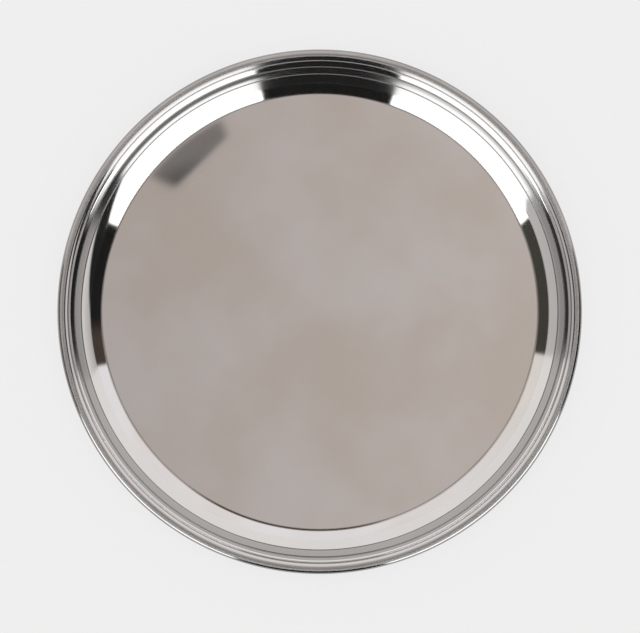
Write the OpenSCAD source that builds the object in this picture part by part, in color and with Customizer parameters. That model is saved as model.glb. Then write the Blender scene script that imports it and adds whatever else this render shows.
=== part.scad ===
// Round thali plate: one pressed steel sheet whose edge is rolled over a stiffening wire.
// The origin is the centre of the resting face on the table, and +Z is up.

/* [Plate] */
// Outside diameter over the rolled bead
plate_d = 300; // [220:5:360]
// Height from the table to the crest of the bead
plate_h = 16; // [13:0.5:26]
// Thickness of the steel sheet
sheet_t = 0.7; // [0.5:0.05:1]

/* [Well] */
// Inside radius of the corner between the floor and the wall
corner_r = 0.8; // [0.4:0.1:2]
// Width in plan from the edge of the flat floor to the shoulder above the wall
wall_run = 5.8; // [3.5:0.1:9]
// Outside radius of the bend between the wall and the shoulder
bend_r = 1.5; // [1.2:0.1:3]

/* [Rim] */
// Width in plan of the sloping shoulder between the wall and the first groove
shoulder_w = 4.7; // [2:0.1:7]
// Slope of the shoulder at its inner edge, in degrees
shoulder_slope = 28; // [23:1:34]
// Slope of the shoulder at its outer edge, in degrees
shoulder_top_slope = 17; // [13:1:19]
// Width in plan of the ledge between the first two grooves
ledge_w = 4.0; // [2:0.1:8]
// Slope of the ledge at its inner edge, in degrees
ledge_slope = 11; // [9:1:16]
// Slope of the ledge at its outer edge, in degrees
ledge_top_slope = 8; // [4:1:8]
// Inside radius of the fold between the ledge and the riser
fold_r = 0.4; // [0.2:0.05:0.8]
// Width in plan of the steep riser above the ledge
riser_w = 1.9; // [1.6:0.1:4]
// Slope of the riser, in degrees
riser_slope = 46; // [38:1:52]
// Outside radius of the brow between the riser and the band
brow_r = 1.2; // [1.1:0.1:2]
// Width in plan of the narrow band between the riser and the third groove
band_w = 1.3; // [1.2:0.1:3]
// Slope of the band, in degrees
band_slope = 11; // [8:1:14]
// Radius of the crown in which the rim runs onto the bead
crown_r = 8.4; // [7:0.1:12]
// Slope of the crown at the third groove, in degrees
crown_slope = 28; // [24:1:32]

/* [Grooves] */
// Width of each line coined into the rim
groove_w = 0.7; // [0.4:0.05:0.8]
// Depth of each line coined into the rim
groove_depth = 0.13; // [0.08:0.01:0.2]

/* [Wired edge] */
// Diameter of the wire inside the bead
wire_d = 4.2; // [3:0.1:5.5]
// Gap all round between the wire and the curl that holds it
wire_clear = 0.05; // [0.02:0.01:0.1]
// Gap between the two butting ends of the wire
wire_gap = 0.8; // [0.2:0.1:2]
// Gap between the lip of the curl and the underside of the crown
lip_gap = 0.4; // [0.2:0.05:0.8]

/* [Hidden] */
$fn = 96;

steel = "silver";
wire_steel = "slategray";

// Largest turn between neighbouring points of a bend, in degrees
bend_turn = 9;
// Longest distance between neighbouring points of a bend
bend_pitch = 0.7;
// Share of the way from the lower face to the steeper face that a groove leans
groove_lean = 0.25;
// Slope at which the crown meets the bead, in degrees
crown_end = 5;
// Depth of the crown's end under the face of the bead, so that the two overlap
crown_sink = 0.005;

// A point in the section is [distance from the axis, height].
// along(s) runs outwards up a face of slope s, and up(s) points out of its upper side.
function along(s) = [cos(s), sin(s)];
function up(s) = [-sin(s), cos(s)];

// Points on a bend, where r is positive for a crown and negative for a valley, from slope s0 to slope s1
function bend(centre, r, s0, s1) =
    let (turns = ceil(abs(s1 - s0) / bend_turn),
         pitches = ceil(abs(r * (s1 - s0)) * PI / 180 / bend_pitch),
         n = max(turns, pitches))
    [for (i = [0:n]) centre + r * up(s0 + (s1 - s0) * i / n)];

function reversed(list) = [for (i = [len(list) - 1:-1:0]) list[i]];
function but_first(list) = [for (i = [1:len(list) - 1]) list[i]];
function but_last(list) = [for (i = [0:len(list) - 2]) list[i]];

// Corner of the face that lies d under a point where the slope changes from s0 to s1
function mitre(point, d, s0, s1) = point - d / cos((s0 - s1) / 2) * up((s0 + s1) / 2);

// Rolled bead, and the crown that runs onto it
bead_r = wire_d / 2 + wire_clear + sheet_t;
bead_centre = [plate_d / 2 - bead_r, plate_h - bead_r];
crown_centre = bead_centre - (crown_r - bead_r + crown_sink) * up(crown_end);
crown_inner = crown_centre + crown_r * up(crown_slope);

// Band and riser, going inwards, with the brow and the fold at the riser's two ends
riser_head = crown_inner - band_w / cos(band_slope) * along(band_slope);
brow_tangent = brow_r * tan((riser_slope - band_slope) / 2);
brow_centre = riser_head + brow_tangent * along(band_slope) - brow_r * up(band_slope);
riser_foot = riser_head - riser_w / cos(riser_slope) * along(riser_slope);
fold_tangent = fold_r * tan((riser_slope - ledge_top_slope) / 2);
fold_centre = riser_foot + fold_tangent * along(riser_slope) + fold_r * up(riser_slope);

// Ledge and shoulder, both slightly crowned, going inwards from the fold
ledge_outer = fold_centre - fold_r * up(ledge_top_slope);
ledge_r = ledge_w / (sin(ledge_slope) - sin(ledge_top_slope));
ledge_centre = ledge_outer - ledge_r * up(ledge_top_slope);
ledge_inner = ledge_centre + ledge_r * up(ledge_slope);
shoulder_r = shoulder_w / (sin(shoulder_slope) - sin(shoulder_top_slope));
shoulder_centre = ledge_inner - shoulder_r * up(shoulder_top_slope);
shoulder_inner = shoulder_centre + shoulder_r * up(shoulder_slope);

// The wall is the straight run that touches both the bend above it and the corner below it
bend_centre = shoulder_inner - bend_r * up(shoulder_slope);
corner_centre = [shoulder_inner[0] - wall_run, sheet_t + corner_r];
reach = bend_centre - corner_centre;
wall_slope = atan2(reach[1], reach[0]) + asin((bend_r + corner_r) / norm(reach));

// Each groove is the mark of a small round tool pressed into the upper face
groove_r = (pow(groove_w / 2, 2) + pow(groove_depth, 2)) / (2 * groove_depth);
groove_lift = groove_r - groove_depth;
GROOVES = [
    ledge_inner + groove_lift * up(ledge_slope),
    ledge_outer + groove_lift * up(ledge_top_slope + groove_lean * (riser_slope - ledge_top_slope)),
    crown_inner + groove_lift * up(band_slope + groove_lean * (crown_slope - band_slope))
];

// Points of the face that lies d under the upper face, from the axis to inside the bead
function face(d) = concat(
    [[0, sheet_t - d]],
    bend(corner_centre, -(corner_r + d), 0, wall_slope),
    bend(bend_centre, bend_r - d, wall_slope, shoulder_slope),
    but_last(bend(shoulder_centre, shoulder_r - d, shoulder_slope, shoulder_top_slope)),
    [mitre(ledge_inner, d, shoulder_top_slope, ledge_slope)],
    but_first(bend(ledge_centre, ledge_r - d, ledge_slope, ledge_top_slope)),
    bend(fold_centre, -(fold_r + d), ledge_top_slope, riser_slope),
    bend(brow_centre, brow_r - d, riser_slope, band_slope),
    [mitre(crown_inner, d, band_slope, crown_slope)],
    but_first(bend(crown_centre, crown_r - d, crown_slope, crown_end))
);

// Floor, wall and rim, ending in the bead
module sheet_section() {
    polygon(concat(face(sheet_t), reversed(face(0))));
}

// Outline of the rolled bead, open under the crown so that the lip of the curl stands clear of it
module bead_outline() {
    half_sheet = sheet_t / 2;
    lip_slope = (crown_slope + crown_end) / 2;
    slot_end = crown_r * (lip_slope - crown_end) * PI / 180 * 0.6;
    difference() {
        translate(bead_centre) circle(bead_r);
        translate(crown_centre + crown_r * up(lip_slope))
            rotate(lip_slope)
                translate([-2 * bead_r, -sheet_t - lip_gap])
                    square([2 * bead_r + slot_end, lip_gap + half_sheet]);
    }
}

// Half section of the pressing, from the axis to the rolled edge
module pressing_section() {
    difference() {
        union() {
            sheet_section();
            bead_outline();
        }
        translate(bead_centre) circle(bead_r - sheet_t);
        for (centre = GROOVES)
            translate(centre) circle(groove_r);
    }
}

// Plate pressed from one disc of sheet: flat floor, wall, grooved rim and rolled edge
module plate_pressing() {
    color(steel)
        rotate_extrude()
            pressing_section();
}

// Ring of round wire inside the rolled edge, with its two ends butting
module rim_wire() {
    gap_angle = wire_gap / bead_centre[0] * 180 / PI;
    color(wire_steel)
        rotate(gap_angle / 2)
            rotate_extrude(angle = 360 - gap_angle)
                translate(bead_centre) circle(wire_d / 2);
}

plate_pressing();
rim_wire();
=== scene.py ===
"""Dress the thali plate: a pressed steel sheet with a grooved rim, its edge rolled over a wire.

The pressing is a section carried once round the plate's axis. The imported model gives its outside
diameter and height, and the fields of PlateSection give the rest of the section. Sizes are in metres,
slopes in degrees, and bearings in degrees clockwise from +Y.
"""

from __future__ import annotations

import logging
import math
from dataclasses import dataclass, replace
from enum import Enum
from functools import reduce

import bpy
import numpy as np
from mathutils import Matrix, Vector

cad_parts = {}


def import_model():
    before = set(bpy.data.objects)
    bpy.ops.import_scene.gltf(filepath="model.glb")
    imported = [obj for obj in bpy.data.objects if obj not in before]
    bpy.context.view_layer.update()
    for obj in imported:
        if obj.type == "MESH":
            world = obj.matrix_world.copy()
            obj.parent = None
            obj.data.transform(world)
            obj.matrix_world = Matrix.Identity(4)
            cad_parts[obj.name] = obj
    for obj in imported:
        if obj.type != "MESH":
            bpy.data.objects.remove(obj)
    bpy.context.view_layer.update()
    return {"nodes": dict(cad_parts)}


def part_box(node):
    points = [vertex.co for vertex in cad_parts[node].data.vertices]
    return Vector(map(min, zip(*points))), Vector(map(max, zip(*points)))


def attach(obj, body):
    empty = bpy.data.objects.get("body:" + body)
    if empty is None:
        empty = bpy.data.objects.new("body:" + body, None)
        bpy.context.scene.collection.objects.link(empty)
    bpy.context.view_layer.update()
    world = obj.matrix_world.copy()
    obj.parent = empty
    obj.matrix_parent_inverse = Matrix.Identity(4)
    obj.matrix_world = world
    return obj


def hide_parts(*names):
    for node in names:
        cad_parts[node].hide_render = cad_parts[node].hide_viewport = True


LOG = logging.getLogger("thali_plate")
MM = 0.001
# Recess at the floor's corner, which paints shade there and adds roughness.
CORNER_RECESS = 0.75
GRAIN_SPAN = (0.35, 0.65)
Colour = tuple[float, float, float]
Array = np.ndarray
Socket = bpy.types.NodeSocket
Span = tuple[float, float]
Given = dict[str, Socket]
Levels = tuple[tuple[float, Colour], ...]


class Zone(Enum):
    """Region of the pressing that has its own finish; the value is its material index."""

    FLOOR = 0
    RIM = 1
    BEAD = 2
    UNDERSIDE = 3


def sine(slope: float) -> float:
    """Return the sine of a slope."""
    return math.sin(math.radians(slope))


def along(slope: float) -> Array:
    """Return the unit vector (cos s, sin s) outwards along a face of slope s, as (outwards, upwards)."""
    s = math.radians(slope)
    return np.array([math.cos(s), math.sin(s)])


def climb(width: float, slope: float) -> Array:
    """Return the step outwards and upwards across a face of this width in plan and this slope."""
    return width * np.array([1.0, math.tan(math.radians(slope))])


def up(slope: Array | float) -> Array:
    """Return the unit vector (-sin s, cos s) out of the upper side of a face, for one slope s or more."""
    s = np.radians(slope)
    return np.stack([-np.sin(s), np.cos(s)], axis=-1)


def apex(s0: float, s1: float) -> Array:
    """Return where two faces of slopes s0 and s1 meet that both pass one unit above the origin."""
    return up((s0 + s1) / 2) / math.cos(math.radians(s0 - s1) / 2)


@dataclass
class Run:
    """Stretch of the section with one finish.

    Attributes:
        points: Rows of (distance from the axis, height).
        normals: Unit normal at each point, out of the steel.
        zone: Finish of the stretch.
        recess: How deep in a groove or corner each point is, from 0 to 1, which sets the painted shade and
            the added roughness there.
    """

    points: Array
    normals: Array
    zone: Zone = Zone.RIM
    recess: Array | float = 0.0

    def __post_init__(self) -> None:
        """Spread a single recess over all the points."""
        self.recess = self.recess + np.zeros(len(self.points))

    def joined(self, other: Run) -> Run:
        """Return this run followed by another that starts where this one ends."""
        return Run(
            np.vstack([self.points, other.points[1:]]),
            np.vstack([self.normals, other.normals[1:]]),
            self.zone,
            np.concatenate([self.recess, other.recess[1:]]),
        )

    def flipped(self) -> Run:
        """Return this run with its normals turned round."""
        return replace(self, normals=-self.normals)

    def rows(self, chosen: Array) -> Run:
        """Return a run of the chosen points."""
        return Run(self.points[chosen], self.normals[chosen], self.zone, self.recess[chosen])


def chain(*runs: Run) -> Run:
    """Return runs that follow one another as one run with the first one's finish."""
    return reduce(Run.joined, runs)


def bend(centre: Array, radius: float, s0: float, s1: float, count: int) -> Run:
    """Return a face round a bend, a crown if the radius is positive and a valley if it is negative.

    Formula: centre + radius * up(s) for count slopes s from s0 to s1, with the normal up(s).
    """
    normals = up(np.linspace(s0, s1, count))
    return Run(centre + radius * normals, normals)


def straight(start: Array, end: Array, count: int) -> Run:
    """Return a face along a straight line, with the steel on the right of its direction.

    Formula: start + t * (end - start) for count even steps t from 0 to 1.
    """
    r, z = (end - start) / np.hypot(*(end - start))
    return Run(np.linspace(start, end, count), np.tile((-z, r), (count, 1)))


def grooved(run: Run, centre: Array, radius: float, recess: float) -> tuple[Run, Run, Run]:
    """Press a round-nosed line into a run of the upper face.

    Formula: where the run lies inside the circle of the tool, it follows that circle instead, between
    the two places where it crosses the circle.

    Args:
        run: Run to press the line into.
        centre: Centre of the round tool.
        radius: Radius of the round tool.
        recess: How deep a recess the line is, which sets its painted shade and added roughness.

    Returns:
        The run before the line, the line itself and the run after it.
    """
    depth = np.linalg.norm(run.points - centre, axis=1) - radius
    inside = np.flatnonzero(depth < 0.0)
    first, last = int(inside[0]), int(inside[-1])

    def crossing(a: int) -> Array:
        """Return the point between row a and the next that lies on the circle."""
        t = depth[a] / (depth[a] - depth[a + 1])
        return run.points[a] + t * (run.points[a + 1] - run.points[a])

    before = run.rows(np.r_[:first, first - 1])
    before.points[-1] = crossing(first - 1)
    after = run.rows(np.r_[last + 1, last + 1 : len(depth)])
    after.points[0] = crossing(last)
    a0, a1 = (math.atan2(*(end - centre)[::-1]) for end in (before.points[-1], after.points[0]))
    angle = np.linspace(a0, a1 if a1 > a0 else a1 + 2.0 * math.pi, 11)
    ray = np.stack([np.cos(angle), np.sin(angle)], axis=1)
    return before, Run(centre + radius * ray, -ray, run.zone, recess), after


@dataclass(frozen=True)
class Arc:
    """Bend of the upper face between two slopes.

    Attributes:
        centre: Centre of the bend in the section.
        radius: Radius of the upper face, positive for a crown and negative for a valley.
        inner: Slope at the end nearer the axis.
        outer: Slope at the other end.
    """

    centre: Array
    radius: float
    inner: float
    outer: float

    @classmethod
    def ending(cls, end: Array, radius: float, inner: float, outer: float) -> Arc:
        """Return the bend whose outer end is at a point."""
        return cls(end - radius * up(outer), radius, inner, outer)

    @classmethod
    def rounding(cls, corner: Array, radius: float, inner: float, outer: float) -> Arc:
        """Return the bend that rounds off a corner between two faces."""
        cut = radius * math.tan(math.radians(inner - outer) / 2)
        return cls.ending(corner + cut * along(outer), radius, inner, outer)

    @property
    def start(self) -> Array:
        """Inner end of the face."""
        return self.at(self.inner)

    @property
    def end(self) -> Array:
        """Outer end of the face."""
        return self.at(self.outer)

    def at(self, slope: float, depth: float = 0.0) -> Array:
        """Return the point where the face has a slope, or the point that lies a depth under it."""
        return self.centre + (self.radius - depth) * up(slope)

    def upper(self, count: int) -> Run:
        """Return the upper face, going outwards."""
        return bend(self.centre, self.radius, self.inner, self.outer, count)

    def lower(self, count: int, depth: float) -> Run:
        """Return the lower face, a depth under the upper one, going inwards."""
        return bend(self.centre, self.radius - depth, self.outer, self.inner, count).flipped()


@dataclass(frozen=True)
class PlateSection:
    """Half section of the pressing, with the solid part's sizes.

    A name ends in _d for a diameter, _r for a radius, _w for a width in plan and _t for a thickness.
    The properties place each face from the bead inwards, because the bead's outside is the plate's.
    Two details differ from the solid by less than 0.06 mm: the wall is hollow, wall_bow degrees lower
    at its foot and steeper at its head, and the bend at its head has the radius crisp_r on top.
    """

    plate_d: float
    plate_h: float
    sheet_t: float = 0.7 * MM
    corner_r: float = 0.8 * MM
    wall_run: float = 5.8 * MM
    bend_r: float = 1.5 * MM
    shoulder_w: float = 4.7 * MM
    shoulder_slope: float = 28.0
    shoulder_top_slope: float = 17.0
    ledge_w: float = 4.0 * MM
    ledge_slope: float = 11.0
    ledge_top_slope: float = 8.0
    fold_r: float = 0.4 * MM
    riser_w: float = 1.9 * MM
    riser_slope: float = 46.0
    brow_r: float = 1.2 * MM
    band_w: float = 1.3 * MM
    band_slope: float = 11.0
    crown_r: float = 8.4 * MM
    crown_slope: float = 28.0
    crown_end: float = 5.0
    groove_w: float = 0.7 * MM
    groove_depth: float = 0.13 * MM
    groove_lean: float = 0.25
    wire_d: float = 4.2 * MM
    wire_clear: float = 0.05 * MM
    lip_gap: float = 0.4 * MM
    apron_w: float = 0.9 * MM
    wall_bow: float = 1.3
    crisp_r: float = 0.5 * MM

    @property
    def bead(self) -> Arc:
        """Top and outer side of the rolled bead."""
        radius = self.wire_d / 2 + self.wire_clear + self.sheet_t
        centre = np.array([self.plate_d / 2 - radius, self.plate_h - radius])
        return Arc(centre, radius, self.crown_end, -90.0)

    @property
    def crown(self) -> Arc:
        """Crown in which the rim runs onto the bead."""
        return Arc.ending(self.bead.start, self.crown_r, self.crown_slope, self.crown_end)

    @property
    def riser_head(self) -> Array:
        """Corner between the riser and the band, which the brow rounds off."""
        return self.crown.start - climb(self.band_w, self.band_slope)

    @property
    def brow(self) -> Arc:
        """Brow between the riser and the band."""
        return Arc.rounding(self.riser_head, self.brow_r, self.riser_slope, self.band_slope)

    @property
    def fold(self) -> Arc:
        """Fold between the ledge and the riser."""
        riser_foot = self.riser_head - climb(self.riser_w, self.riser_slope)
        return Arc.rounding(riser_foot, -self.fold_r, self.ledge_top_slope, self.riser_slope)

    @property
    def ledge(self) -> Arc:
        """Slightly crowned ledge between the first two grooves."""
        radius = self.ledge_w / (sine(self.ledge_slope) - sine(self.ledge_top_slope))
        return Arc.ending(self.fold.start, radius, self.ledge_slope, self.ledge_top_slope)

    @property
    def shoulder(self) -> Arc:
        """Slightly crowned shoulder between the wall and the first groove."""
        radius = self.shoulder_w / (sine(self.shoulder_slope) - sine(self.shoulder_top_slope))
        return Arc.ending(self.ledge.start, radius, self.shoulder_slope, self.shoulder_top_slope)

    @property
    def well(self) -> tuple[Arc, Arc]:
        """Corner at the foot of the wall and bend at its head, both touched by the straight wall."""
        foot = np.array([self.shoulder.start[0] - self.wall_run, self.sheet_t + self.corner_r])
        head = self.shoulder.at(self.shoulder_slope, self.bend_r)
        reach = head - foot
        lean = math.asin((self.bend_r + self.corner_r) / float(np.hypot(*reach)))
        slope = math.degrees(math.atan2(reach[1], reach[0]) + lean)
        corner = Arc(foot, -self.corner_r, 0.0, slope)
        return corner, Arc(head, self.bend_r, slope, self.shoulder_slope)

    @property
    def crisp(self) -> Arc:
        """Crisper bend that is seen at the head of the wall, touching the same two faces."""
        head = self.well[1]
        corner = head.centre + head.radius * apex(head.inner, head.outer)
        return Arc.rounding(corner, self.crisp_r, head.inner, head.outer)

    @property
    def wall(self) -> Arc:
        """Wall between its corner and the crisp bend, hollow by a hair."""
        corner = self.well[0]
        low, high = corner.outer - self.wall_bow, corner.outer + self.wall_bow
        radius = float(np.linalg.norm(self.crisp.start - corner.end)) / (2.0 * sine(self.wall_bow))
        return Arc(corner.end + radius * up(low), -radius, low, high)

    def upper(self) -> list[Run]:
        """Follow the upper face from the axis to the outer side of the bead.

        Returns:
            Runs of the floor, the rim, its three grooves and the bead.
        """
        # Painted shade: the recess darkens the floor's corner, most where the floor meets the bend, fading
        # up the bend and inwards over the apron.
        corner = self.well[0].upper(10)
        corner.recess = CORNER_RECESS * (1.0 - np.linspace(0.0, 1.0, 10) ** 2)
        edge = corner.points[0]
        inner = edge - np.array([self.apron_w, 0.0])
        apron = straight(inner, edge, 5)
        apron.recess = CORNER_RECESS * np.linspace(0.0, 1.0, 5) ** 2
        floor = chain(straight(np.array([0.0, self.sheet_t]), inner, 14), apron, corner)
        floor.zone = Zone.FLOOR
        rest = chain(
            self.wall.upper(9),
            self.crisp.upper(10),
            straight(self.crisp.end, self.shoulder.start, 3),
            self.shoulder.upper(22),
            self.ledge.upper(22),
            self.fold.upper(6),
            straight(self.fold.end, self.brow.start, 14),
            self.brow.upper(10),
            straight(self.brow.end, self.crown.start, 8),
            self.crown.upper(22),
            self.bead.upper(26),
        )
        runs = [floor]
        depth = self.groove_depth
        tool_r = ((self.groove_w / 2) ** 2 + depth**2) / (2 * depth)
        # Each groove's recess paints shade into its line and adds roughness.
        for point, low, steep, recess in (
            (self.ledge.start, self.ledge_slope, self.ledge_slope, 1.0),
            (self.ledge.end, self.ledge_top_slope, self.riser_slope, 1.0),
            (self.crown.start, self.band_slope, self.crown_slope, 0.8),
        ):
            tool = point + (tool_r - depth) * up(low + self.groove_lean * (steep - low))
            before, line, rest = grooved(rest, tool, tool_r, recess)
            runs += [before, line]
        rest.zone = Zone.BEAD
        return [*runs, rest]

    def under(self) -> list[Run]:
        """Follow the rest of the outline, from the bead's outer side round its lip to the axis.

        Returns:
            Runs of the curl, the lip, the hollow round the wire and the underside.
        """
        t, bead = self.sheet_t, self.bead
        lip_slope = (self.crown_slope + self.crown_end) / 2
        lid = self.crown.at(lip_slope, t + self.lip_gap)
        lip_height = float((lid - bead.centre) @ up(lip_slope))

        def lip_end(radius: float) -> float:
            """Return the slope, after a whole turn, at which a circle about the bead meets the lip."""
            return lip_slope + math.degrees(math.acos(lip_height / radius)) - 360.0

        curl = bend(bead.centre, bead.radius, bead.outer, lip_end(bead.radius), 30)
        curl.zone = Zone.BEAD
        inside = bead.radius - t
        hollow = bend(bead.centre, inside, lip_end(inside), bead.inner, 24).flipped()
        hollow = hollow.joined(self.crown.lower(9, t))
        hollow.points[-1] = self.crown.start - t * apex(self.band_slope, self.crown_slope)
        brow, fold, ledge = self.brow.lower(5, t), self.fold.lower(7, t), self.ledge.lower(6, t)
        corner, head = self.well
        shoulder = self.shoulder.lower(8, t).joined(head.lower(7, t))
        mitre = self.ledge.start - t * apex(self.ledge_slope, self.shoulder_top_slope)
        ledge.points[-1] = mitre
        shoulder.points[0] = mitre
        foot = corner.lower(10, t)
        runs = [
            straight(curl.points[-1], hollow.points[0], 2),
            hollow,
            straight(hollow.points[-1], brow.points[0], 3),
            brow,
            straight(brow.points[-1], fold.points[0], 3),
            fold.joined(ledge),
            shoulder,
            straight(shoulder.points[-1], foot.points[0], 5),
            foot,
            straight(foot.points[-1], np.zeros(2), 8),
        ]
        for run in runs:
            run.zone = Zone.UNDERSIDE
        return [curl, *runs]


@dataclass(frozen=True)
class Graph:
    """Node tree being built, with short ways to add, link and combine nodes."""

    tree: bpy.types.NodeTree

    @classmethod
    def of(cls, owner: bpy.types.Material | bpy.types.World) -> Graph:
        """Return the emptied node tree of a material or a world."""
        owner.use_nodes = True
        owner.node_tree.nodes.clear()
        return cls(owner.node_tree)

    def feed(self, value: object, socket: Socket) -> None:
        """Link a socket to an input, or set the input to a plain value.

        Args:
            value: Output socket, number, vector or colour.
            socket: Input to feed.
        """
        if isinstance(value, Socket):
            self.tree.links.new(value, socket)
        elif socket.type == "RGBA":
            socket.default_value = (*value, 1.0)
        else:
            socket.default_value = value

    def node(self, kind: str, *values: object, **named: object) -> bpy.types.Node:
        """Add a node and set it up.

        Args:
            kind: Type name of the node, without the "ShaderNode" that all of them start with.
            values: What the first inputs are fed, in order.
            named: Inputs by name, with underscores for spaces; a name that is no input is a property.

        Returns:
            The new node.
        """
        node = self.tree.nodes.new("ShaderNode" + kind)
        for name, value in named.items():
            socket = node.inputs.get(name.replace("_", " "))
            if socket is None:
                setattr(node, name, value)
            else:
                self.feed(value, socket)
        for value, socket in zip(values, node.inputs):
            self.feed(value, socket)
        return node

    def show(self, shader: bpy.types.Node, kind: str = "Material") -> None:
        """Link a shader to the output of a material or a world."""
        self.feed(shader.outputs[0], self.node("Output" + kind).inputs[0])

    def math(self, operation: str, *values: object) -> Socket:
        """Return the result of a Math node fed with the values."""
        return self.node("Math", *values, operation=operation).outputs[0]

    def fma(self, a: object, b: object, c: object) -> Socket:
        """Return a * b + c."""
        return self.math("MULTIPLY_ADD", a, b, c)

    def product(self, *values: object) -> Socket:
        """Return the product of several values."""
        return reduce(lambda a, b: self.math("MULTIPLY", a, b), values)

    def vector(self, operation: str, *values: object, output: str = "Vector") -> Socket:
        """Return a result of a Vector Math node fed with the values."""
        return self.node("VectorMath", *values, operation=operation).outputs[output]

    def scaled(self, vector: object, factor: object) -> Socket:
        """Return a vector or a colour made longer by a factor."""
        return self.node("VectorMath", vector, operation="SCALE", Scale=factor).outputs["Vector"]

    def dot(self, vector: Socket, way: Colour) -> Socket:
        """Return how far a vector reaches along a direction."""
        return self.vector("DOT_PRODUCT", vector, way, output="Value")

    def smooth(self, value: Socket, low: float, high: float) -> Socket:
        """Return a smooth step of a value from 0 at low to 1 at high."""
        return self.node("MapRange", value, low, high, interpolation_type="SMOOTHSTEP").outputs[0]

    def mix(self, share: object, a: object, b: object) -> Socket:
        """Blend two colours.

        Args:
            share: Share of the second colour.
            a: First colour.
            b: Second colour.

        Returns:
            The colour socket.
        """
        node = self.node("Mix", data_type="RGBA")
        by_name = {socket.identifier: socket for socket in (*node.inputs, *node.outputs)}
        for value, name in ((share, "Factor_Float"), (a, "A_Color"), (b, "B_Color")):
            self.feed(value, by_name[name])
        return by_name["Result_Color"]

    def noise(self, vector: Socket, scale: object, detail: float) -> Socket:
        """Return a cloudy value about a half."""
        return self.node("TexNoise", Vector=vector, Scale=scale, Detail=detail).outputs[0]

    def away(self, vector: Socket) -> tuple[Socket, Socket, Socket]:
        """Split a place into its direction from the axis, its distance from the axis and its height."""
        flat = self.vector("MULTIPLY", vector, (1.0, 1.0, 0.0))
        height = self.node("SeparateXYZ", vector).outputs["Z"]
        return self.vector("NORMALIZE", flat), self.vector("LENGTH", flat, output="Value"), height

    def effect(self, effect: type[Effect], **values: object) -> Socket:
        """Place a shared effect and return its output."""
        return self.node("Group", node_tree=effect.group(), **values).outputs[0]


class Effect:
    """Shader node group that several finishes share, built the first time it is placed."""

    name = "effect"
    inputs: dict[str, str] = {}
    output = "Value"

    @classmethod
    def group(cls) -> bpy.types.NodeTree:
        """Return the effect's node group.

        Returns:
            The group, with the sockets that the class names.
        """
        tree = bpy.data.node_groups.get(cls.name)
        if tree is None:
            tree = bpy.data.node_groups.new(cls.name, "ShaderNodeTree")
            for name, kind in cls.inputs.items():
                tree.interface.new_socket(name, in_out="INPUT", socket_type="NodeSocket" + kind)
            tree.interface.new_socket(cls.output, in_out="OUTPUT", socket_type="NodeSocketFloat")
            given = tree.nodes.new("NodeGroupInput").outputs
            result = cls.build(Graph(tree), {name: given[name] for name in cls.inputs})
            tree.links.new(result, tree.nodes.new("NodeGroupOutput").inputs[0])
        return tree

    @classmethod
    def build(cls, graph: Graph, given: Given) -> Socket:
        """Build the nodes of the group.

        Args:
            graph: Node tree of the group.
            given: Inputs by name.

        Returns:
            The socket to link to the group's output.
        """
        raise NotImplementedError


class GrainLines(Effect):
    """Fine lines of the finish: rings from the buffing wheel, or strokes across a rolled edge.

    Formula: noise at way * around + (0, 0, across * (radius + lie * height)) for the direction way from
    the axis. Lines run the way that is counted less.
    """

    name = "grain_lines"
    inputs = {"Place": "Vector", "Around": "Float", "Across": "Float", "Lie": "Float"}
    output = "Line"

    @classmethod
    def build(cls, graph: Graph, given: Given) -> Socket:
        """Read the noise."""
        way, radius, height = graph.away(given["Place"])
        run = graph.fma(height, given["Lie"], radius)
        path = graph.node("CombineXYZ", Z=graph.product(run, given["Across"])).outputs[0]
        return graph.noise(graph.vector("ADD", graph.scaled(way, given["Around"]), path), 1.0, 3.0)


class HandlingFilm(Effect):
    """Cloudy film left by wiping and handling."""

    name = "handling_film"
    inputs = {"Place": "Vector", "Clouds per metre": "Float"}
    output = "Film"
    clean_to_hazy = (0.32, 0.68)

    @classmethod
    def build(cls, graph: Graph, given: Given) -> Socket:
        """Spread noise so that most of it lies near clean or near hazy."""
        clouds = graph.noise(given["Place"], given["Clouds per metre"], 3.0)
        return graph.smooth(clouds, *cls.clean_to_hazy)


class HairScratches(Effect):
    """Sparse hairlines in three directions, from use and stacking."""

    name = "hair_scratches"
    inputs = {"Place": "Vector", "Hairs per metre": "Float"}
    output = "Hair"
    turns = (0.35, 1.45, 2.6)
    stretch = (0.02, 1.0, 0.3)
    cut = (0.70, 0.76)

    @classmethod
    def build(cls, graph: Graph, given: Given) -> Socket:
        """Take the strongest of three stretched noises, cut off high so that few hairs are left."""
        strongest: Socket | float = 0.0
        for turn in cls.turns:
            turned = graph.node("VectorRotate", given["Place"], rotation_type="Z_AXIS", Angle=turn)
            drawn = graph.vector("MULTIPLY", turned.outputs[0], cls.stretch)
            cloud = graph.noise(drawn, given["Hairs per metre"], 1.0)
            strongest = graph.math("MAXIMUM", strongest, graph.smooth(cloud, *cls.cut))
        return strongest


class CornerBrownPatches(Effect):
    """Brown patches where the recess is, patchy round the axis, inside the floor, and heaviest towards one
    bearing.
    """

    name = "corner_brown_patches"
    inputs = {"Place": "Vector", "Recess": "Float"}
    output = "Patches"
    # Bearing towards which the patches grow heaviest, so the corner is darker brown towards -Y.
    heaviest_bearing = 189.0
    side_fade = (0.86, 0.97)
    side_share = 1.5
    patches = 5.0
    patch_fade = (0.42, 0.66)
    patch_share = 0.2
    outer_fade = (128.5 * MM, 127.5 * MM)

    @classmethod
    def build(cls, graph: Graph, given: Given) -> Socket:
        """Multiply the recess by a patchy share, and by far more of it towards one bearing."""
        way, radius, _ = graph.away(given["Place"])
        bearing = math.radians(cls.heaviest_bearing)
        towards = graph.dot(way, (math.sin(bearing), math.cos(bearing), 0.0))
        side = graph.product(graph.smooth(towards, *cls.side_fade), cls.side_share)
        patchy = graph.smooth(graph.noise(way, cls.patches, 2.0), *cls.patch_fade)
        share = graph.fma(patchy, cls.patch_share, side)
        share = graph.product(share, graph.smooth(radius, *cls.outer_fade))
        return graph.math("MINIMUM", graph.product(given["Recess"], share), 1.0)


class Lie(Enum):
    """Whether a face mostly rises or falls outwards; the value is the sign of its slope."""

    RISING = 1.0
    FALLING = -1.0


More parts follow.
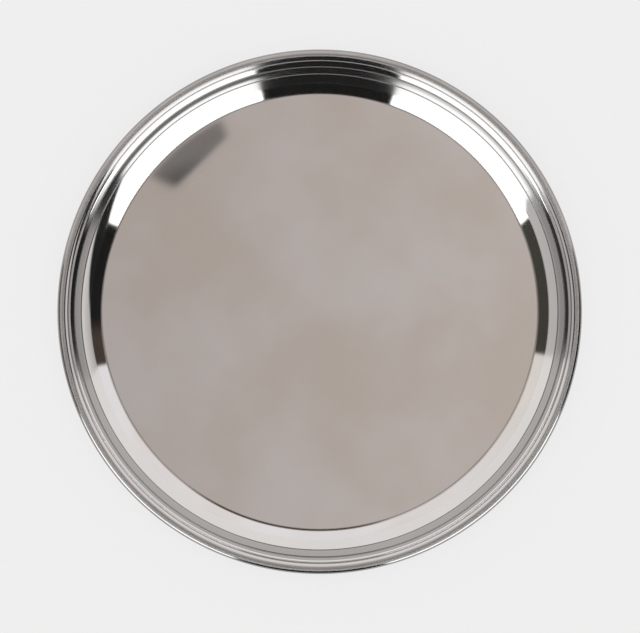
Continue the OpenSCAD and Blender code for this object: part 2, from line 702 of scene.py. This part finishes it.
@dataclass(frozen=True)
class SteelFinish:
    """One finish of stainless steel.

    Attributes:
        name: Name of the material.
        colour: Colour that the clean metal reflects.
        film_colour: Colour under the handling film.
        roughness: Roughness of the clean metal.
        film_roughness: Roughness added by the film.
        lie: Way that the face runs outwards.
        grain_around: Lines to a radian round the axis.
        grain_across: Lines to a metre along the face.
        grain_height: Height of the lines.
        grain_roughness: Roughness that the lines add or take away.
        grain_tint: Share of the colour that the lines add or take away.
        hairs: Hairline scratches per metre.
        hair_depth: Depth of the scratches, as a share of the height of the lines.
        hair_roughness: Roughness that the scratches add.
        clouds: Clouds of film per metre.
        recess_shade_colour: Painted shade in the grooves and in the floor's corner, weighted by the recess.
        recess_roughness: Roughness added there.
        corner_brown_colour: Colour of the brown patches in the floor's corner.
        corner_brown_roughness: Roughness added by the brown patches.
        painted_shade_span: Radii between which this finish's colour, on the bead a darkened colour that
            stands for painted shade, comes in beside a polished flank.
        matted: Radii between which its roughness comes in and goes out again.
        flank_colour: Colour of the polished flank.
        flank_roughness: Roughness of the polished flanks.
        spread: How much more the reflections spread round the axis than across it, from 0 to 1.
    """

    name: str
    colour: Colour
    film_colour: Colour
    roughness: float
    film_roughness: float
    lie: Lie = Lie.RISING
    grain_around: float = 1.6
    grain_across: float = 2600.0
    grain_height: float = 0.2e-6
    grain_roughness: float = 0.01
    grain_tint: float = 0.0
    hairs: float = 1500.0
    hair_depth: float = 0.6
    hair_roughness: float = 0.03
    clouds: float = 9.0
    recess_shade_colour: Colour = (0.24, 0.235, 0.23)
    recess_roughness: float = 0.12
    corner_brown_colour: Colour = (0.07, 0.045, 0.03)
    corner_brown_roughness: float = 0.3
    painted_shade_span: Span | None = None
    matted: tuple[float, float, float, float] | None = None
    flank_colour: Colour = (0.62, 0.61, 0.60)
    flank_roughness: float = 0.06
    spread: float = 0.0

    def material(self) -> bpy.types.Material:
        """Build the material: metal whose colour, roughness and normal follow the effects.

        Returns:
            The new material.
        """
        material = bpy.data.materials.new(self.name)
        graph = Graph.of(material)
        place = graph.node("TexCoord").outputs["Object"]
        recess = graph.node("Attribute", attribute_name="recess").outputs["Fac"]
        film = graph.effect(HandlingFilm, Place=place, Clouds_per_metre=self.clouds)
        hair = graph.effect(HairScratches, Place=place, Hairs_per_metre=self.hairs)
        brown_patches = graph.effect(CornerBrownPatches, Place=place, Recess=recess)
        counts = {"Around": self.grain_around, "Across": self.grain_across}
        line = graph.effect(GrainLines, Place=place, Lie=self.lie.value, **counts)
        colour = graph.mix(film, self.colour, self.film_colour)
        if self.grain_tint:
            shade = graph.smooth(line, *GRAIN_SPAN)
            shade = graph.fma(shade, -self.grain_tint, 1.0 + self.grain_tint / 2)
            colour = graph.scaled(colour, shade)
        clean = self.roughness - self.grain_roughness / 2
        rough = graph.fma(film, self.film_roughness, clean)
        rough = graph.fma(line, self.grain_roughness, rough)
        # On the bead, painted shade: past the polished flank, which keeps the steel's colour, the darker
        # colour comes in; the satin roughness comes and goes between the matted radii.
        if self.painted_shade_span and self.matted:
            radius = graph.away(place)[1]
            begun, full, fading, ended = self.matted
            colour = graph.mix(graph.smooth(radius, *self.painted_shade_span), self.flank_colour, colour)
            satin = graph.product(graph.smooth(radius, begun, full), graph.smooth(radius, ended, fading))
            line = graph.product(satin, line)
            extra = graph.math("SUBTRACT", rough, self.flank_roughness)
            rough = graph.fma(satin, extra, self.flank_roughness)
        # Painted shade in the grooves and the floor's corner, then the brown patches in that corner; each
        # also adds roughness.
        for mask, tint, more in (
            (recess, self.recess_shade_colour, self.recess_roughness),
            (brown_patches, self.corner_brown_colour, self.corner_brown_roughness),
        ):
            colour = graph.mix(mask, colour, tint)
            rough = graph.fma(mask, more, rough)
        rough = graph.fma(hair, self.hair_roughness, rough)
        relief = graph.fma(hair, -self.hair_depth, line)
        bump = graph.node("Bump", Height=relief, Strength=1.0, Distance=self.grain_height)
        bsdf = graph.node("BsdfPrincipled", Base_Color=colour, Roughness=rough, Normal=bump.outputs[0])
        bsdf.inputs["Metallic"].default_value = 1.0
        if self.spread:
            bsdf.inputs["Anisotropic"].default_value = self.spread
            graph.feed(graph.vector("CROSS_PRODUCT", (0.0, 0.0, 1.0), place), bsdf.inputs["Tangent"])
        graph.show(bsdf)
        return material


def placed(name: str, data: bpy.types.ID) -> bpy.types.Object:
    """Return a new object that shows some data, linked to the scene."""
    thing = bpy.data.objects.new(name, data)
    bpy.context.scene.collection.objects.link(thing)
    return thing


@dataclass
class PlatePressing:
    """The pressed sheet: its section carried once round the axis, in four finishes.

    Attributes:
        section: Half section of the sheet.
        finishes: Finish of each zone.
        around: Number of steps round the axis.
    """

    section: PlateSection
    finishes: dict[Zone, SteelFinish]
    around: int = 320

    def outline(self) -> tuple[Array, Array, Array, Array, Array]:
        """Join the section's runs into one line from the axis over the rim and back to the axis.

        Returns:
            Points, the normal at the start and the end of each step, the zone of each step and the
            recess of each point.
        """
        runs = self.section.upper() + self.section.under()
        whole = chain(*runs)
        starts = np.vstack([run.normals[:-1] for run in runs])
        ends = np.vstack([run.normals[1:] for run in runs])
        zones = np.repeat([run.zone.value for run in runs], [len(run.points) - 1 for run in runs])
        return whole.points, starts, ends, zones, whole.recess

    def build(self) -> bpy.types.Object:
        """Turn the section about the axis into a closed mesh with true normals.

        Formula: (r cos a, r sin a, z) for every point (r, z) of the section and every angle a of an
        even turn. The two ends of the section lie on the axis and are one vertex each.

        Returns:
            The new piece, linked to the scene.
        """
        points, starts, ends, zones, recess = self.outline()
        n, rings = self.around, len(points) - 2
        angle = np.linspace(0.0, 2.0 * math.pi, n, endpoint=False)
        turn = np.stack([np.cos(angle), np.sin(angle)], axis=1)
        after = (np.arange(n) + 1) % n
        kept = np.ones((rings + 1, n, 4), bool)
        kept[0, :, 3] = False
        kept[-1, :, 2] = False

        def turned(section: Array) -> Array:
            """Carry rows of (outwards, upwards) round the axis, one ring to each row."""
            high = np.broadcast_to(section[:, None, 1:], (len(section), n, 1))
            return np.concatenate([section[:, None, :1] * turn, high], axis=2)

        def cornered(inner: Array, outer: Array) -> Array:
            """Return the values at the corners of each face between two rings, with each pole once."""
            return np.stack([inner, outer, outer[:, after], inner[:, after]], axis=2)[kept]

        whole = turned(points)
        vertices = np.vstack([whole[0, :1], whole[1:-1].reshape(-1, 3), whole[-1, :1]])
        ring = np.arange(rings * n).reshape(rings, n) + 1
        index = np.vstack([np.zeros((1, n), int), ring, np.full((1, n), rings * n + 1)])
        corners = cornered(index[:-1], index[1:])
        normals = cornered(turned(starts), turned(ends))
        sizes = kept.sum(axis=2).ravel()

        mesh = bpy.data.meshes.new("pressed_sheet")
        mesh.vertices.add(len(vertices))
        mesh.vertices.foreach_set("co", vertices.astype(np.float32).ravel())
        mesh.loops.add(len(corners))
        mesh.loops.foreach_set("vertex_index", corners.astype(np.int32))
        mesh.polygons.add(len(sizes))
        mesh.polygons.foreach_set("loop_start", (np.cumsum(sizes) - sizes).astype(np.int32))
        mesh.polygons.foreach_set("material_index", np.repeat(zones, n).astype(np.int32))
        mesh.update(calc_edges=True)
        mesh.validate()
        mesh.polygons.foreach_set("use_smooth", np.ones(len(sizes), bool))
        mesh.normals_split_custom_set(normals.astype(np.float32))
        # The recess layer carries the painted shade of the grooves and the floor's corner.
        recess_layer = mesh.attributes.new("recess", "FLOAT", "POINT")
        ringed = np.repeat(recess, np.r_[1, np.full(rings, n), 1])
        recess_layer.data.foreach_set("value", ringed.astype(np.float32))
        return placed("pressed_sheet", mesh)

    def dress(self, piece: bpy.types.Object) -> None:
        """Give each zone its finish and tie the piece to the solid that it stands for.

        Args:
            piece: Piece made by build.
        """
        for zone in Zone:
            piece.data.materials.append(self.finishes[zone].material())
        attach(piece, "root")
        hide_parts("plate_pressing")


@dataclass
class RimWire:
    """The wire inside the bead, which keeps its solid and gets a drawn finish.

    Attributes:
        finish: Finish of the wire.
    """

    finish: SteelFinish

    def dress(self, nodes: dict[str, bpy.types.Object]) -> bpy.types.Object:
        """Replace the solid's plain material.

        Args:
            nodes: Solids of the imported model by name.

        Returns:
            The dressed solid.
        """
        wire = nodes["rim_wire"]
        wire.data.materials.clear()
        wire.data.materials.append(self.finish.material())
        return wire


def grey(level: float) -> Colour:
    """Return a neutral colour."""
    return (level, level, level)


def warm(level: float) -> Colour:
    """Return a faintly warm grey."""
    return (level, 0.962 * level, 0.945 * level)


@dataclass(frozen=True)
class Sector:
    """Slice of the studio round the plate.

    Attributes:
        start: Bearing where the slice starts low down; it ends where the next one starts.
        levels: Zenith angles in degrees with the radiance at each, from the top down.
        slant: Degrees by which its start moves on for each degree further up.
        slant_span: Zenith angles between which it is slanted.
        blur: Half the blur at its start, in degrees.
        foot_blur: Half the blur that its start gains near the foot.
        foot_shift: Degrees by which its start moves on near the foot.
    """

    start: float
    levels: Levels
    slant: float = 0.0
    slant_span: Span = (28.0, 54.0)
    blur: float = 0.6
    foot_blur: float = 0.0
    foot_shift: float = 0.0

    def colour(self, graph: Graph, zenith: Socket) -> Socket:
        """Radiance of the slice from the top down.

        Args:
            graph: Node tree to build in.
            zenith: Zenith angle in degrees.

        Returns:
            The colour socket.
        """
        ramp = graph.node("ValToRGB", graph.math("DIVIDE", zenith, 90.0))
        elements = ramp.color_ramp.elements
        for _ in range(len(self.levels) - len(elements)):
            elements.new(1.0)
        for element, (angle, colour) in zip(elements, self.levels):
            element.position = angle / 90.0
            element.color = (*colour, 1.0)
        return ramp.outputs[0]


def footing(plain: Colour, foot: Colour) -> Levels:
    """Return levels near the foot, which the plate's riser mirrors, between plain stretches."""
    return ((83.9, plain), (84.6, foot), (86.9, foot), (87.6, plain))


def skirt(band: Colour, plain: Colour, foot: Colour) -> Levels:
    """Return levels of the lower half of a slice, with the low band that the plate's wall mirrors."""
    above, below = ((51.5, plain), (56.6, plain)), ((65.8, plain), *footing(plain, foot))
    return (*above, (57.8, band), (64.6, band), *below)


GAP = ((9.0, grey(0.02)), (88.0, grey(0.02)))
PANEL = (
    (13.2, grey(1.6)),
    (58.2, grey(1.6)),
    (59.4, grey(4.6)),
    (72.0, grey(4.6)),
    (73.5, grey(1.0)),
    *footing(grey(1.0), grey(1.8)),
)
LEFT_PANEL = ((9.0, grey(0.7)), (11.0, grey(0.9)), *PANEL)
RIGHT_PANEL = ((9.0, grey(0.2)), (12.0, grey(0.2)), *PANEL)
DARK_STRETCH = ((17.0, warm(0.62)), (19.0, grey(0.06)), (26.0, grey(0.06)))
LEFT_WALL = (
    (9.0, warm(0.36)),
    (13.0, warm(0.36)),
    *DARK_STRETCH,
    (28.0, warm(0.64)),
    (49.0, warm(0.68)),
    *skirt((0.1, 0.097, 0.085), warm(0.3), grey(0.03)),
)
RIGHT_WALL = (
    (9.0, warm(0.38)),
    (14.0, warm(0.44)),
    *DARK_STRETCH,
    (28.0, warm(0.95)),
    (49.0, warm(0.60)),
    *skirt((0.11, 0.08, 0.066), warm(0.3), grey(0.03)),
)
BACK_WALL = (
    (9.0, warm(0.58)),
    (14.0, warm(0.58)),
    (24.0, warm(1.04)),
    (50.0, warm(1.04)),
    *skirt((1.49, 1.44, 1.45), warm(1.12), warm(0.57)),
)


@dataclass(frozen=True)
class Flag:
    """Small dark flag beside the ceiling card, seen as a soft patch in the floor.

    Its place is a direction, so its sizes are sines of angles.

    Attributes:
        bearing: Bearing that its inner edge faces.
        reach: Sine of the zenith angle of its inner edge.
        aside: How far its middle lies clockwise of the bearing.
        half: Half its width at the inner edge.
        flare: Growth of the half width with the distance from the inner edge.
        outer: Sines of the zenith angles between which it ends, the larger one first.
        inner_blur: Start and end of the blur across its inner edge.
        side_blur: Start and end of the blur across its sides.
        thinning: Share by which it thins outwards and to one side.
        thin_span: Distances from the inner edge between which it thins.
        thin_lean: Growth of that distance to one side.
        colour: Radiance.
    """

    bearing: float = 315.6
    reach: float = 0.0908
    aside: float = 0.0110
    half: float = 0.0165
    flare: float = 0.4
    outer: Span = (0.1046, 0.1026)
    inner_blur: Span = (-0.001, 0.0012)
    side_blur: Span = (-0.004, 0.0025)
    thinning: float = 0.3
    thin_span: Span = (-0.002, 0.011)
    thin_lean: float = 0.4
    colour: Colour = (0.085, 0.084, 0.083)

    def share(self, graph: Graph, way: Socket) -> Socket:
        """Mask of the flag: full at its straight inner edge, thinner outwards and to one side.

        Args:
            graph: Node tree to build in.
            way: Unit direction from the plate.

        Returns:
            The mask socket.
        """
        turn = math.radians(self.bearing)
        out, side = (math.sin(turn), math.cos(turn), 0.0), (math.cos(turn), -math.sin(turn), 0.0)
        past = graph.math("SUBTRACT", graph.dot(way, out), self.reach)
        off = graph.dot(way, side)
        middle = graph.math("ABSOLUTE", graph.math("SUBTRACT", off, self.aside))
        spare = graph.math("SUBTRACT", graph.fma(past, self.flare, self.half), middle)
        thin = graph.smooth(graph.fma(off, self.thin_lean, past), *self.thin_span)
        return graph.product(
            graph.smooth(past, *self.inner_blur),
            graph.smooth(spare, *self.side_blur),
            graph.smooth(graph.away(way)[1], *self.outer),
            graph.fma(thin, -self.thinning, 1.0),
        )


@dataclass(frozen=True)
class Surround:
    """What the polished steel mirrors: a ceiling card, bright panels, and dark gaps between them.

    Attributes:
        radius: Distance of the surround from the plate.
        faces: Rows of faces from the top down, and faces round the dome.
        ceiling: Radiance of the ceiling card overhead.
        ceiling_slope: Share by which the card brightens for each unit of a direction's X part.
        ceiling_edge: Zenith angles where the card starts to fade and where it ends.
        flag: Small flag beside the card.
        foot_span: Zenith angles over which the starts of the slices blur and move near the foot.
        sectors: Slices in order of bearing, each one covering the ones before it.
    """

    radius: float = 20.0
    faces: tuple[int, int] = (12, 48)
    ceiling: Colour = (0.626, 0.563, 0.534)
    ceiling_slope: float = 0.8247
    ceiling_edge: Span = (6.6, 9.0)
    flag: Flag = Flag()
    foot_span: Span = (70.0, 84.0)
    sectors: tuple[Sector, ...] = (
        Sector(-180.0, GAP),
        Sector(-161.0, LEFT_PANEL),
        Sector(-113.4, LEFT_WALL, -0.17, (36.0, 64.5), foot_blur=9.0, foot_shift=-8.0),
        Sector(-79.0, BACK_WALL, foot_blur=6.0),
        Sector(76.1, RIGHT_WALL, -0.1, foot_blur=6.0),
        Sector(86.0, GAP, 1.0, blur=3.0),
        Sector(113.0, RIGHT_PANEL, 0.52, (28.0, 50.0), foot_blur=9.0, foot_shift=4.0),
        Sector(165.0, GAP),
    )

    def colour(self, graph: Graph, way: Socket) -> Socket:
        """Radiance by direction: the card overhead, and round it the slice that the bearing picks.

        Args:
            graph: Node tree to build in.
            way: Unit direction from the plate.

        Returns:
            The colour socket.
        """
        x, y, z = graph.node("SeparateXYZ", way).outputs
        zenith = graph.math("DEGREES", graph.math("ARCCOSINE", z))
        bearing = graph.math("DEGREES", graph.math("ARCTAN2", x, y))
        low = graph.smooth(zenith, *self.foot_span)
        side = self.sectors[0].colour(graph, zenith)
        for sector in self.sectors[1:]:
            top, foot = sector.slant_span
            within = graph.math("MINIMUM", graph.math("MAXIMUM", zenith, top), foot)
            raised = graph.math("SUBTRACT", foot, within)
            start = graph.fma(raised, sector.slant, sector.start)
            start = graph.fma(low, sector.foot_shift, start)
            past = graph.math("SUBTRACT", bearing, start)
            blur = graph.fma(low, sector.foot_blur, sector.blur)
            begun = graph.smooth(graph.math("DIVIDE", past, blur), -1.0, 1.0)
            side = graph.mix(begun, side, sector.colour(graph, zenith))
        level = graph.fma(x, self.ceiling_slope, 1.0)
        card = graph.scaled(self.ceiling, level)
        card = graph.mix(self.flag.share(graph, way), card, self.flag.colour)
        return graph.mix(graph.smooth(zenith, *self.ceiling_edge), card, side)

    def build(self) -> bpy.types.Object:
        """Make the dome that only reflections see.

        Formula: radius * (sin z sin b, sin z cos b, cos z) for zenith angles z to the horizon and
        bearings b all round. Its colour depends only on the direction from the plate.

        Returns:
            The dome.
        """
        rows, columns = self.faces
        z = np.linspace(0.0, math.pi / 2, rows + 1)[:, None]
        b = np.linspace(-math.pi, math.pi, columns + 1)
        parts = (np.sin(z) * np.sin(b), np.sin(z) * np.cos(b), np.cos(z) * np.ones_like(b))
        grid = self.radius * np.stack(parts, axis=2)
        row = columns + 1
        cell = np.arange(rows)[:, None] * row + np.arange(columns)
        faces = np.stack([cell, cell + 1, cell + row + 1, cell + row], axis=2).reshape(-1, 4)
        mesh = bpy.data.meshes.new("studio_surround")
        mesh.from_pydata(grid.reshape(-1, 3).tolist(), [], faces.tolist())
        material = bpy.data.materials.new("studio_surround")
        material.cycles.emission_sampling = "NONE"
        graph = Graph.of(material)
        way = graph.vector("NORMALIZE", graph.node("TexCoord").outputs["Object"])
        graph.show(graph.node("Emission", self.colour(graph, way)))
        mesh.materials.append(material)
        dome = placed("studio_surround", mesh)
        dome.visible_camera = False
        dome.visible_diffuse = False
        dome.visible_shadow = False
        return dome


@dataclass(frozen=True)
class Studio:
    """Table, even light and camera.

    Attributes:
        camera_height: Height of the camera over the table.
        lens: Focal length in millimetres.
        sensor: Width of the sensor in millimetres.
        aim: Point of the table under the camera.
        pale: Colour of the table and the backdrop.
        shadow: Share of the plate's shadow that the table keeps.
        table_half: Half the width of the table.
        table_drop: Gap between the table and the plate.
    """

    camera_height: float = 1.3
    lens: float = 126.6
    sensor: float = 36.0
    aim: tuple[float, float] = (0.0002, -0.0027)
    pale: Colour = (0.863, 0.863, 0.863)
    shadow: float = 0.12
    table_half: float = 25.0
    table_drop: float = 0.1 * MM

    def seen(self, graph: Graph) -> Socket:
        """Return 1 for rays that show the backdrop: camera, mirror and glass rays."""
        path = graph.node("LightPath").outputs
        seen = graph.math("MAXIMUM", path["Is Camera Ray"], path["Is Glossy Ray"])
        return graph.math("MAXIMUM", seen, path["Is Transmission Ray"])

    def table(self) -> bpy.types.Object:
        """Lay the pale table just under the plate, clear to a camera that looks up from below it.

        Returns:
            The table.
        """
        h, z = self.table_half, -self.table_drop
        mesh = bpy.data.meshes.new("table_top")
        mesh.from_pydata([(-h, -h, z), (h, -h, z), (h, h, z), (-h, h, z)], [], [(0, 1, 2, 3)])
        material = bpy.data.materials.new("pale_table")
        graph = Graph.of(material)
        matt = graph.node("BsdfDiffuse", self.pale).outputs[0]
        glow = graph.node("Emission", self.pale).outputs[0]
        share = graph.product(self.seen(graph), 1.0 - self.shadow)
        mixed = graph.node("MixShader", share, matt, glow).outputs[0]
        below = graph.node("NewGeometry").outputs["Backfacing"]
        clear = graph.node("BsdfTransparent").outputs[0]
        graph.show(graph.node("MixShader", below, mixed, clear))
        mesh.materials.append(material)
        top = placed("table_top", mesh)
        return top

    def light(self) -> None:
        """Light everything evenly from a white world that shows as the pale backdrop."""
        world = bpy.data.worlds.new("even_light")
        bpy.context.scene.world = world
        graph = Graph.of(world)
        colour = graph.mix(self.seen(graph), grey(1.0), self.pale)
        graph.show(graph.node("Background", colour), "World")

    def camera(self) -> bpy.types.Object:
        """Hang the camera over the plate, looking straight down with +Y at the top of the picture.

        Returns:
            The scene's camera.
        """
        data = bpy.data.cameras.new("overhead_camera")
        data.lens = self.lens
        data.sensor_width = self.sensor
        data.clip_end = 100.0
        camera = placed("overhead_camera", data)
        camera.location = (*self.aim, self.camera_height)
        bpy.context.scene.camera = camera
        return camera


FINISHES = {
    Zone.FLOOR: SteelFinish(
        "buffed_floor",
        (0.712, 0.714, 0.722),
        (0.652, 0.63, 0.592),
        0.02,
        0.01,
        grain_height=0.03e-6,
        hair_roughness=0.012,
        clouds=12.0,
    ),
    Zone.RIM: SteelFinish("mirror_rim", (0.67, 0.665, 0.66), (0.65, 0.645, 0.64), 0.045, 0.02, clouds=25.0),
    # The bead's satin roughness is its own; its colour and film colour, far darker than the steel's, are
    # painted shade on its crest.
    Zone.BEAD: SteelFinish(
        "satin_bead_painted_shade",
        (0.38, 0.37, 0.361),
        (0.33, 0.32, 0.311),
        0.27,
        0.05,
        lie=Lie.FALLING,
        grain_around=300.0,
        grain_across=90.0,
        grain_height=1e-6,
        grain_roughness=0.02,
        grain_tint=0.06,
        clouds=30.0,
        painted_shade_span=(144.6 * MM, 146.0 * MM),
        matted=(145.5 * MM, 146.4 * MM, 147.8 * MM, 148.5 * MM),
        spread=0.85,
    ),
    Zone.UNDERSIDE: SteelFinish(
        "satin_underside",
        (0.60, 0.585, 0.57),
        (0.55, 0.535, 0.52),
        0.24,
        0.08,
        grain_across=1800.0,
        grain_height=3e-6,
        grain_roughness=0.10,
        clouds=14.0,
    ),
}
DRAWN_WIRE = SteelFinish(
    "drawn_wire",
    (0.50, 0.50, 0.50),
    (0.43, 0.42, 0.41),
    0.34,
    0.10,
    grain_across=5000.0,
    grain_height=4e-6,
    grain_roughness=0.12,
    clouds=40.0,
)


def main() -> None:
    """Build the plate, its finishes and the studio."""
    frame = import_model()
    low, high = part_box("plate_pressing")
    bpy.context.scene.view_settings.view_transform = "Standard"

    section = PlateSection(min(high[0] - low[0], high[1] - low[1]), high[2] - low[2])
    pressing = PlatePressing(section, FINISHES)
    sheet = pressing.build()
    pressing.dress(sheet)
    sheet.data.calc_loop_triangles()
    LOG.info("%s: %d triangles", sheet.name, len(sheet.data.loop_triangles))
    wire = RimWire(DRAWN_WIRE).dress(frame["nodes"])
    LOG.info("%s: %d faces", wire.name, len(wire.data.polygons))

    studio = Studio()
    for stage in (studio.table(), Surround().build(), studio.camera()):
        LOG.info("%s: stage", stage.name)
    studio.light()


if __name__ == "__main__":
    logging.basicConfig(level=logging.INFO, format="%(name)s: %(message)s")
    main()
